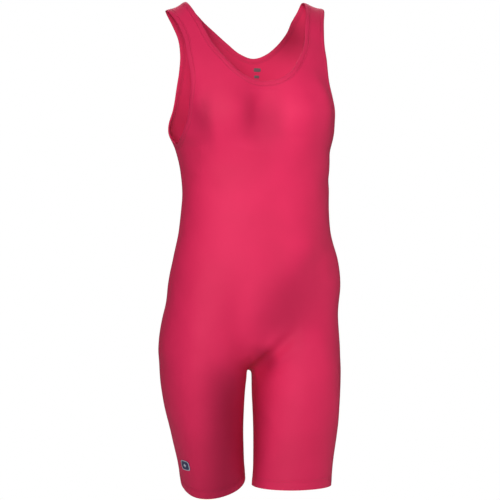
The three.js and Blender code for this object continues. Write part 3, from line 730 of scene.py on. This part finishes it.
def binding(name, loop, turning, settings):
    """A folded band round an opening, with its sewn groove and the small puckers along it."""
    edge, away = loop["edge"][:-1], loop["away"][:-1]
    run = run_of(loop["edge"])[:-1]
    rings = []
    for distance, height in BAND_PROFILE:
        ring, normal = draped(onto(edge + away * distance), settings.crease_strength)
        pucker = 0.1 * np.sin(2 * math.pi * run / settings.stitch_pitch * METRES)
        slow = 0.12 * np.sin(run / 7.3 + np.sin(run / 17.0))
        near_seam = bell(distance - BAND_SEAM, 1.6)
        lift = height + pucker * near_seam + slow * smooth(distance, 10, 4) * np.sign(height + 0.9)
        rings.append(ring + normal * lift[:, None])
    grid = np.stack(rings, 1)
    count, size = grid.shape[:2]
    i, k = np.meshgrid(np.arange(count), np.arange(size), indexing="ij")
    after, beside = (i + 1) % count, (k + 1) % size
    quads = np.stack([i * size + k, after * size + k, after * size + beside, i * size + beside], -1)
    length = np.append(run, run_of(loop["edge"])[-1])
    girth = np.append(run_of(np.array(BAND_PROFILE)), run_of(np.array(BAND_PROFILE))[-1] + 1)
    flat = np.stack([
        np.stack([length[i], girth[k]], -1), np.stack([length[i + 1], girth[k]], -1),
        np.stack([length[i + 1], girth[k + 1]], -1), np.stack([length[i], girth[k + 1]], -1),
    ], -2)
    quads, flat = quads.reshape(-1, 4), flat.reshape(-1, 4, 2)
    if turning < 0:
        quads, flat = quads[:, ::-1], flat[:, ::-1]
    return new_mesh(name, grid.reshape(-1, 3), quads.tolist(), flat.reshape(-1, 2))


def one_stitch(settings):
    """A single stitch of thread lying along X, modelled once."""
    deselect()
    bpy.ops.mesh.primitive_uv_sphere_add(segments=6, ring_count=5, radius=1)
    stitch = bpy.context.object
    bpy.ops.object.mode_set(mode="EDIT")
    bpy.ops.mesh.select_all(action="SELECT")
    bpy.ops.transform.rotate(value=math.pi / 2, orient_axis="Y", center_override=(0, 0, 0))
    half = settings.stitch_length / METRES / 2
    thread = settings.thread_thickness / METRES / 2
    bpy.ops.transform.resize(value=(half, thread, thread), center_override=(0, 0, 0))
    bpy.ops.object.mode_set(mode="OBJECT")
    points = np.array([v.co for v in stitch.data.vertices], float)
    faces = [tuple(f.vertices) for f in stitch.data.polygons]
    bpy.data.objects.remove(stitch)
    return points, faces


def stitching(name, lines, settings):
    """Rows of stitches along lines on the cloth, as copies of one stitch joined in one mesh."""
    shape, faces = one_stitch(settings)
    points, every = [], []
    for line, normals in lines:
        run = run_of(line)
        count = round(run[-1] / (settings.stitch_pitch / METRES))
        goal = (np.arange(count) + 0.5) * run[-1] / count
        at = np.stack([np.interp(goal, run, axis) for axis in line.T], -1)
        up = unit(np.stack([np.interp(goal, run, axis) for axis in normals.T], -1))
        step = settings.stitch_length / METRES / 2
        ahead = np.stack([np.interp(np.minimum(goal + step, run[-1]), run, axis) for axis in line.T], -1)
        behind = np.stack([np.interp(np.maximum(goal - step, 0), run, axis) for axis in line.T], -1)
        along = unit(ahead - behind)
        side = unit(np.cross(up, along))
        for i in range(count):
            every += [tuple(v + len(shape) * len(points) for v in f) for f in faces]
            points.append(at[i] + shape @ np.array([along[i], side[i], up[i]]))
    return new_mesh(name, np.concatenate(points), every)


def band_line(loop, strength):
    """The sewn line of a band, on both the outside and the inside."""
    line, normal = draped(onto(loop["edge"] + loop["away"] * BAND_SEAM), strength)
    return [(line + normal * BAND_SINK, normal), (line - normal * 1.85, normal)]


def hem_lines(side, strength):
    """The two sewn lines round one leg's hem."""
    rows, plane = (LEFT_LEG, LEFT_HEM) if side > 0 else (RIGHT_LEG, RIGHT_HEM)
    made = []
    for seam in HEM_SEAMS:
        halves = [leg_row(rows, plane, side, face, seam, FINE // 2) for face in ("front", "back")]
        ring = np.concatenate([halves[0], halves[1][::-1][1:]])
        line, normal = draped(ring, strength)
        made.append((line + normal * (hem_puff(ring) + 0.12)[:, None], normal))
    return made


def laid_flat(shape, centre, strength, face_inwards=False, depth=0.0):
    """Points drawn flat about a place on the cloth, x and y along it and z off it, laid on the cloth."""
    start = onto(np.array([centre], float))[0]
    away = outward(start)
    level = unit(np.cross([0, 0, 1], away))
    up = np.cross(away, level)
    spread, normal = draped(onto(start + shape[:, :1] * level + shape[:, 1:2] * up), strength)
    off = -depth - shape[:, 2:] if face_inwards else shape[:, 2:]
    return spread + normal * off


def rounded(width, height, corner, around):
    """The outline of a flat shape with rounded corners, as shares of its half sizes."""
    turn = 2 * math.pi * np.arange(around) / around
    squared = lambda value: np.sign(value) * np.abs(value) ** (2 / corner)
    return np.stack([squared(np.cos(turn)) * width / 2, squared(np.sin(turn)) * height / 2], -1)


def plate(name, rings, corner_rows):
    """A closed plate from rings of points, its first and last closed with a fan."""
    count = len(rings[0])
    points = np.concatenate([*rings, corner_rows])
    low, high = len(rings) * count, len(rings) * count + 1
    faces = []
    for r in range(len(rings) - 1):
        for i in range(count):
            j = (i + 1) % count
            faces.append((r * count + i, (r + 1) * count + i, (r + 1) * count + j, r * count + j))
    last = (len(rings) - 1) * count
    for i in range(count):
        j = (i + 1) % count
        faces += [(low, i, j), (high, last + j, last + i)]
    return points, faces


def hex_colour(text):
    """An sRGB hex colour as linear red, green, blue and alpha."""
    parts = [int(text[i:i + 2], 16) / 255 for i in (1, 3, 5)]
    return tuple(c / 12.92 if c <= 0.04045 else ((c + 0.055) / 1.055) ** 2.4 for c in parts) + (1.0,)


def add(tree, kind, links=None, **settings):
    """One node with its settings, its inputs set to values or linked to other nodes' outputs."""
    made = tree.nodes.new(kind)
    for name, value in settings.items():
        setattr(made, name, value)
    for name, value in (links or {}).items():
        if isinstance(value, bpy.types.NodeSocket):
            tree.links.new(value, made.inputs[name])
        else:
            made.inputs[name].default_value = value
    return made


def new_material(name):
    material = bpy.data.materials.new(name)
    material.use_nodes = True
    material.node_tree.nodes.clear()
    return material, material.node_tree


def close_material(tree, shader):
    output = add(tree, "ShaderNodeOutputMaterial")
    tree.links.new(shader.outputs["BSDF"], output.inputs["Surface"])


def waves(tree, vector, direction, spacing):
    """Even bands of the given spacing in metres."""
    wave = add(tree, "ShaderNodeTexWave", {"Vector": vector, "Scale": 2 * math.pi / (20 * spacing),
               "Distortion": 0.0}, wave_type="BANDS", bands_direction=direction)
    return wave.outputs["Fac"]


def knit_material(name, light, dark, wale, course, depth, rough, sheen):
    """Nylon and spandex warp knit. The eye sees a smooth dyed face with a broad soft gloss, a fine bloom where
    it turns away, and close up the upright wales with their courses across. Real wales are about 0.6 mm
    apart, and are drawn coarser so that they show. Painted shade darkens the hollows between the loops and a
    painted highlight lightens their crowns."""
    material, tree = new_material(name)
    knit = add(tree, "ShaderNodeUVMap", uv_map="knit").outputs["UV"]
    place_at = add(tree, "ShaderNodeTexCoord").outputs["Object"]
    wales = waves(tree, knit, "X", wale)
    courses = waves(tree, knit, "Y", course)
    fibre = add(tree, "ShaderNodeTexNoise", {"Vector": knit, "Scale": 1400.0, "Detail": 3.0}).outputs["Fac"]
    loops = add(tree, "ShaderNodeMath", {0: wales, 1: courses}, operation="MULTIPLY").outputs[0]
    woolly = add(tree, "ShaderNodeMath", {0: fibre, 1: 0.35, 2: loops}, operation="MULTIPLY_ADD").outputs[0]
    slow = add(tree, "ShaderNodeTexNoise", {"Vector": place_at, "Scale": 11.0, "Detail": 2.0}).outputs["Fac"]
    shade = add(tree, "ShaderNodeMapRange", {"Value": slow, "From Min": 0.3, "From Max": 0.7}).outputs["Result"]
    tone = add(tree, "ShaderNodeMix", {"Factor": shade, "A": hex_colour(light), "B": hex_colour(dark)},
               data_type="RGBA")
    # Painted shade and highlight: the colour is made 6% darker in the hollows between the knit's loops and 4%
    # lighter on their crowns, following the bump's height
    painted_loop_shade = add(tree, "ShaderNodeMapRange", {"Value": loops, "To Min": 0.94, "To Max": 1.04}).outputs["Result"]
    colour = add(tree, "ShaderNodeMix", {"Factor": 1.0, "A": tone.outputs["Result"], "B": painted_loop_shade},
                 data_type="RGBA", blend_type="MULTIPLY")
    bump = add(tree, "ShaderNodeBump", {"Strength": 0.35, "Distance": depth, "Height": woolly})
    shader = add(tree, "ShaderNodeBsdfPrincipled", {
        "Base Color": colour.outputs["Result"], "Roughness": rough, "IOR": 1.5, "Specular IOR Level": 0.4,
        "Sheen Weight": sheen, "Sheen Roughness": 0.35, "Sheen Tint": hex_colour("#ff9ab4"),
        "Normal": bump.outputs["Normal"]})
    close_material(tree, shader)
    return material


def thread_material(name, colour):
    """Spun polyester sewing thread. The eye sees a slightly darker line with a dull gloss and a fine twist."""
    material, tree = new_material(name)
    place_at = add(tree, "ShaderNodeTexCoord").outputs["Object"]
    twist = add(tree, "ShaderNodeTexNoise", {"Vector": place_at, "Scale": 2600.0, "Detail": 1.0}).outputs["Fac"]
    bump = add(tree, "ShaderNodeBump", {"Strength": 0.4, "Distance": 0.0001, "Height": twist})
    shader = add(tree, "ShaderNodeBsdfPrincipled", {
        "Base Color": hex_colour(colour), "Roughness": 0.5, "IOR": 1.5, "Normal": bump.outputs["Normal"]})
    close_material(tree, shader)
    return material


def transfer_material(name, light, dark, rough):
    """Heat-bonded polyurethane film. The eye sees an even matt colour with the knit just telling through it."""
    material, tree = new_material(name)
    place_at = add(tree, "ShaderNodeTexCoord").outputs["Object"]
    grain = add(tree, "ShaderNodeTexNoise", {"Vector": place_at, "Scale": 900.0, "Detail": 2.0}).outputs["Fac"]
    tone = add(tree, "ShaderNodeMix", {"Factor": grain, "A": hex_colour(light), "B": hex_colour(dark)},
               data_type="RGBA")
    bump = add(tree, "ShaderNodeBump", {"Strength": 0.3, "Distance": 0.0001, "Height": grain})
    shader = add(tree, "ShaderNodeBsdfPrincipled", {
        "Base Color": tone.outputs["Result"], "Roughness": rough, "IOR": 1.5, "Normal": bump.outputs["Normal"]})
    close_material(tree, shader)
    return material


class SINGLET_PG_settings(bpy.types.PropertyGroup):
    """Sizes and colours that a user would change."""

    cloth_colour: bpy.props.StringProperty(
        name="Cloth", description="sRGB hex colour of the knit where it is lightest", default="#e4225a")
    cloth_shade: bpy.props.StringProperty(
        name="Cloth shade", description="sRGB hex colour of the knit where its dye is deepest", default="#dc2055")
    band_colour: bpy.props.StringProperty(
        name="Band", description="sRGB hex colour of the neck and armhole bands", default="#dd2258")
    band_shade: bpy.props.StringProperty(
        name="Band shade", description="sRGB hex colour of the bands where the dye is deepest", default="#d21f51")
    thread_colour: bpy.props.StringProperty(
        name="Thread", description="sRGB hex colour of the sewing thread", default="#b81847")
    badge_colour: bpy.props.StringProperty(
        name="Badge", description="sRGB hex colour of the badge", default="#232a5c")
    badge_rim: bpy.props.StringProperty(
        name="Badge rim", description="sRGB hex colour of the badge's rim and lozenge", default="#c9ccd8")
    print_colour: bpy.props.StringProperty(
        name="Neck print", description="sRGB hex colour of the print inside the neck", default="#6f5a60")
    wale_spacing: bpy.props.FloatProperty(
        name="Wale spacing", description="Distance between the knit's upright rows", default=0.0011,
        min=0.0003, max=0.005, subtype="DISTANCE", unit="LENGTH", precision=5)
    course_spacing: bpy.props.FloatProperty(
        name="Course spacing", description="Distance between the knit's level rows", default=0.0009,
        min=0.0003, max=0.005, subtype="DISTANCE", unit="LENGTH", precision=5)
    stitch_pitch: bpy.props.FloatProperty(
        name="Stitch pitch", description="Distance from one stitch to the next", default=0.003,
        min=0.0015, max=0.008, subtype="DISTANCE", unit="LENGTH", precision=5)
    stitch_length: bpy.props.FloatProperty(
        name="Stitch length", description="Length of a stitch that shows", default=0.0023,
        min=0.001, max=0.006, subtype="DISTANCE", unit="LENGTH", precision=5)
    thread_thickness: bpy.props.FloatProperty(
        name="Thread", description="Thickness of the sewing thread", default=0.0005,
        min=0.0002, max=0.002, subtype="DISTANCE", unit="LENGTH", precision=5)
    seam_sink: bpy.props.FloatProperty(
        name="Seam depth", description="How far the side and shoulder seams lie in the cloth", default=0.0005,
        min=0.0, max=0.002, subtype="DISTANCE", unit="LENGTH", precision=5)
    crease_strength: bpy.props.FloatProperty(
        name="Creases", description="How deep the creases are, as a share of the garment shown", default=1.0,
        min=0.0, max=1.5, subtype="FACTOR")
    key_power: bpy.props.FloatProperty(
        name="Key light", description="Power of the large soft light in front", default=7.6, min=0.0,
        unit="POWER")


class SINGLET_OT_panels(bpy.types.Operator):
    """Shape the front and back panels as thin creased cloth"""

    bl_idname = "singlet.panels"
    bl_label = "Panels"

    def execute(self, context):
        settings = context.scene.singlet
        knit = knit_material("warp_knit_nylon_dyed", settings.cloth_colour, settings.cloth_shade,
                             settings.wale_spacing, settings.course_spacing, 0.00025, 0.75, 0.05)
        for face in ("front", "back"):
            piece = panel(f"{face}_panel_cloth", face, settings)
            finish_piece(piece, knit, "knit", f"{face}_panel")
        return {"FINISHED"}


class SINGLET_OT_bindings(bpy.types.Operator):
    """Fold the neck and armhole bands"""

    bl_idname = "singlet.bindings"
    bl_label = "Neck and armhole bands"

    def execute(self, context):
        settings = context.scene.singlet
        neck, armholes, _ = layout()
        knit = knit_material("warp_knit_band_folded", settings.band_colour, settings.band_shade,
                             settings.course_spacing, settings.wale_spacing, 0.00025, 0.75, 0.05)
        finish_piece(binding("neck_binding", neck, -1, settings), knit, "binding", "neck_band")
        for side, word in ((-1, "right"), (1, "left")):
            piece = binding(f"armhole_binding_{word}", armholes[side], side, settings)
            finish_piece(piece, knit, "binding", f"armhole_band_{word}")
        return {"FINISHED"}


class SINGLET_OT_stitches(bpy.types.Operator):
    """Sew the rows of stitches along the bands and hems"""

    bl_idname = "singlet.stitches"
    bl_label = "Stitches"

    def execute(self, context):
        settings = context.scene.singlet
        neck, armholes, _ = layout()
        thread = thread_material("polyester_thread_spun", settings.thread_colour)
        rows = [("neck_stitches", band_line(neck, settings.crease_strength), "binding")]
        for side, word in ((-1, "right"), (1, "left")):
            rows.append((f"armhole_stitches_{word}", band_line(armholes[side], settings.crease_strength),
                         "binding"))
            rows.append((f"hem_stitches_{word}", hem_lines(side, settings.crease_strength), "knit"))
        for name, lines, slot in rows:
            finish_piece(stitching(name, lines, settings), thread, slot)
        return {"FINISHED"}


class SINGLET_OT_transfers(bpy.types.Operator):
    """Bond the badge on the leg and the plain print inside the neck"""

    bl_idname = "singlet.transfers"
    bl_label = "Badge and neck print"

    def execute(self, context):
        settings = context.scene.singlet
        film = transfer_material("polyurethane_film_navy", settings.badge_colour, "#1b2150", 0.45)
        rim = transfer_material("polyurethane_film_pale", settings.badge_rim, "#aeb2c4", 0.4)
        ink = transfer_material("polyurethane_print_grey", settings.print_colour, "#5b474d", 0.6)
        grid = layout()[2][-1, "front"]["leg"]
        row, column = BADGE["row"] * DETAIL, BADGE["column"] * DETAIL
        centre = grid[round(row), round(column)]
        outline = rounded(BADGE["wide"], BADGE["high"], BADGE["corner"], BADGE["around"])
        raised = [np.column_stack([outline * share, np.full(len(outline), height)])
                  for share, height in BADGE_RINGS]
        ends = np.array([(0, 0, BADGE_RINGS[0][1]), (0, 0, BADGE_RINGS[-1][1])], float)
        points, faces = plate("badge", raised, ends)
        badge = new_mesh("badge_film", laid_flat(points, centre, settings.crease_strength), faces)
        finish_piece(badge, [film, rim], "transfer", "leg_badge")
        around = BADGE["around"]
        for i, polygon in enumerate(badge.data.polygons):
            ring = i // around
            polygon.material_index = 1 if 3 <= ring <= 5 else 0
        lozenge = rounded(9.5, 6.5, 1.0, 24)
        rings = [np.column_stack([lozenge * share, np.full(24, height)])
                 for share, height in ((0.6, 1.02), (0.93, 1.02), (1.0, 0.94), (1.0, 0.84))]
        points, faces = plate("lozenge", rings, np.array([(0, 0, 1.02), (0, 0, 0.84)], float))
        finish_piece(new_mesh("badge_lozenge", laid_flat(points, centre, settings.crease_strength), faces), rim, "transfer")
        for i, (x, z, wide, high) in enumerate(NECK_PRINTS):
            outline = rounded(2 * wide, 2 * high, 5, 40)
            rings = [np.column_stack([outline * share, np.full(40, height)])
                     for share, height in ((0.5, 0.22), (0.95, 0.22), (1.0, 0.12), (1.0, 0.04))]
            points, faces = plate("print", rings, np.array([(0, 0, 0.22), (0, 0, 0.04)], float))
            spot = (x, 27, z)
            laid = laid_flat(points, spot, settings.crease_strength, True, CLOTH + 0.05)
            finish_piece(new_mesh(f"neck_print_{i + 1}", laid, [f[::-1] for f in faces]), ink, "transfer")
        return {"FINISHED"}


class SINGLET_OT_declare(bpy.types.Operator):
    """An empty step that changes nothing"""

    bl_idname = "singlet.declare"
    bl_label = "Declare the cuts"

    def execute(self, context):
        return {"FINISHED"}


def soft_light(name, azimuth, elevation, distance, size, power, target, grid=180):
    """A large square light at a place round the garment, turned towards it, with a grid that narrows its beam."""
    bpy.ops.object.light_add(type="AREA")
    light = bpy.context.object
    light.name = name
    a, e = math.radians(azimuth), math.radians(elevation)
    back = np.array([math.sin(a) * math.cos(e), -math.cos(a) * math.cos(e), math.sin(e)])
    light.location = np.array(target) + back * distance
    light.rotation_euler = (math.pi / 2 - e, 0, a)
    light.data.shape = "SQUARE"
    light.data.size = size
    light.data.energy = power
    light.data.spread = math.radians(grid)
    return light


# Black cards between the key light and the garment: place, turn in degrees, width and height in metres
FLAGS = [
    ("flag_right_leg", (-0.153, -0.271, -0.770), (90, 6, -22), (0.050, 0.32)),
    ("flag_crotch", (-0.038, -0.173, -0.606), (90, 0, -23), (0.022, 0.030)),
    ("flag_left_hip", (-0.070, -0.335, -0.492), (90, 24, -23), (0.026, 0.13)),
    ("flag_chest", (-0.080, -0.276, -0.197), (90, 0, -23), (0.016, 0.060)),
    ("flag_right_armhole", (-0.181, -0.244, -0.201), (90, 0, -21), (0.014, 0.060)),
    ("flag_inside_back", (0.008, -0.144, -0.036), (90, 0, -23), (0.040, 0.060)),
]


def flag_card(name, place_at, turned, size):
    """A card that shades part of the garment. It stands outside what the camera sees."""
    bpy.ops.mesh.primitive_plane_add(size=1, location=place_at, rotation=[math.radians(a) for a in turned])
    card = bpy.context.object
    card.name = name
    card.scale = (*size, 1)
    material, tree = new_material(f"black_card_{name}")
    close_material(tree, add(tree, "ShaderNodeBsdfPrincipled", {"Base Color": (0, 0, 0, 1), "Roughness": 1.0}))
    card.data.materials.append(material)
    card.visible_camera = False
    return card


class SINGLET_OT_stage(bpy.types.Operator):
    """Set the pale floor, the soft studio light and the camera"""

    bl_idname = "singlet.stage"
    bl_label = "Stage"

    def execute(self, context):
        settings = context.scene.singlet
        scene = context.scene
        scene.view_settings.view_transform = "Standard"
        deselect()
        bpy.ops.mesh.primitive_circle_add(vertices=96, radius=1.6, fill_type="NGON", location=(0, 0, -1.25))
        floor = bpy.context.object
        floor.name = "studio_floor"
        material, tree = new_material("painted_floor_matt_white")
        close_material(tree, add(tree, "ShaderNodeBsdfPrincipled", {
            "Base Color": hex_colour("#f4f4f4"), "Roughness": 0.9, "Emission Color": (0.45, 0.45, 0.45, 1),
            "Emission Strength": add(tree, "ShaderNodeLightPath").outputs["Is Camera Ray"]}))
        floor.data.materials.append(material)
        soft_light("key_softbox", -28.6, 7.5, 3.22, 1.35, settings.key_power, (0.38, 0, -0.31), 36.8)
        soft_light("fill_softbox", 51, 38, 2.82, 1.77, settings.key_power * 0.45, (0, 0, -0.4))
        soft_light("rim_softbox", 82, 0, 1.8, 1.4, settings.key_power * 0.1, (-0.09, 0, -0.71), 14.4)
        for name, place_at, turned, size in FLAGS:
            flag_card(name, place_at, turned, size)
        soft_light("back_softbox", 161, 44, 3.0, 1.8, settings.key_power * 9, (0, 0, -0.45))
        world = scene.world or bpy.data.worlds.new("studio")
        scene.world = world
        world.use_nodes = True
        tree = world.node_tree
        tree.nodes.clear()
        seen = add(tree, "ShaderNodeLightPath").outputs["Is Camera Ray"]
        dim = add(tree, "ShaderNodeBackground", {"Color": (1, 1, 1, 1), "Strength": 0.08})
        bright = add(tree, "ShaderNodeBackground", {"Color": (1, 1, 1, 1), "Strength": 1.0})
        either = add(tree, "ShaderNodeMixShader", {"Fac": seen})
        tree.links.new(dim.outputs[0], either.inputs[1])
        tree.links.new(bright.outputs[0], either.inputs[2])
        output = add(tree, "ShaderNodeOutputWorld")
        tree.links.new(either.outputs[0], output.inputs["Surface"])
        turn = math.radians(-18.5)
        bpy.ops.object.camera_add(rotation=(math.pi / 2, 0, turn))
        camera = bpy.context.object
        camera.data.lens = 114.5
        distance, aside = 2.8, 0.00924
        camera.location = (distance * math.sin(turn) + aside * math.cos(turn),
                           -distance * math.cos(turn) + aside * math.sin(turn), -0.4347)
        scene.camera = camera
        return {"FINISHED"}


class SINGLET_PT_sidebar(bpy.types.Panel):
    """The singlet's pieces and settings"""

    bl_label = "Singlet"
    bl_idname = "SINGLET_PT_sidebar"
    bl_space_type = "VIEW_3D"
    bl_region_type = "UI"
    bl_category = "Singlet"

    def draw(self, context):
        for kind in OPERATORS:
            self.layout.operator(kind.bl_idname)
        settings = context.scene.singlet
        for name in settings.bl_rna.properties.keys():
            if name not in ("rna_type", "name"):
                self.layout.prop(settings, name)


OPERATORS = (SINGLET_OT_panels, SINGLET_OT_bindings, SINGLET_OT_stitches, SINGLET_OT_transfers,
             SINGLET_OT_declare, SINGLET_OT_stage)


def register():
    for kind in (SINGLET_PG_settings, *OPERATORS, SINGLET_PT_sidebar):
        bpy.utils.register_class(kind)
    bpy.types.Scene.singlet = bpy.props.PointerProperty(type=SINGLET_PG_settings)


def unregister():
    del bpy.types.Scene.singlet
    for kind in reversed((SINGLET_PG_settings, *OPERATORS, SINGLET_PT_sidebar)):
        bpy.utils.unregister_class(kind)


def main():
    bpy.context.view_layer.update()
    register()
    bpy.ops.singlet.panels()
    bpy.ops.singlet.bindings()
    bpy.ops.singlet.stitches()
    bpy.ops.singlet.transfers()
    bpy.ops.singlet.declare()
    bpy.ops.singlet.stage()
    bpy.context.view_layer.update()


if __name__ == "__main__":
    main()
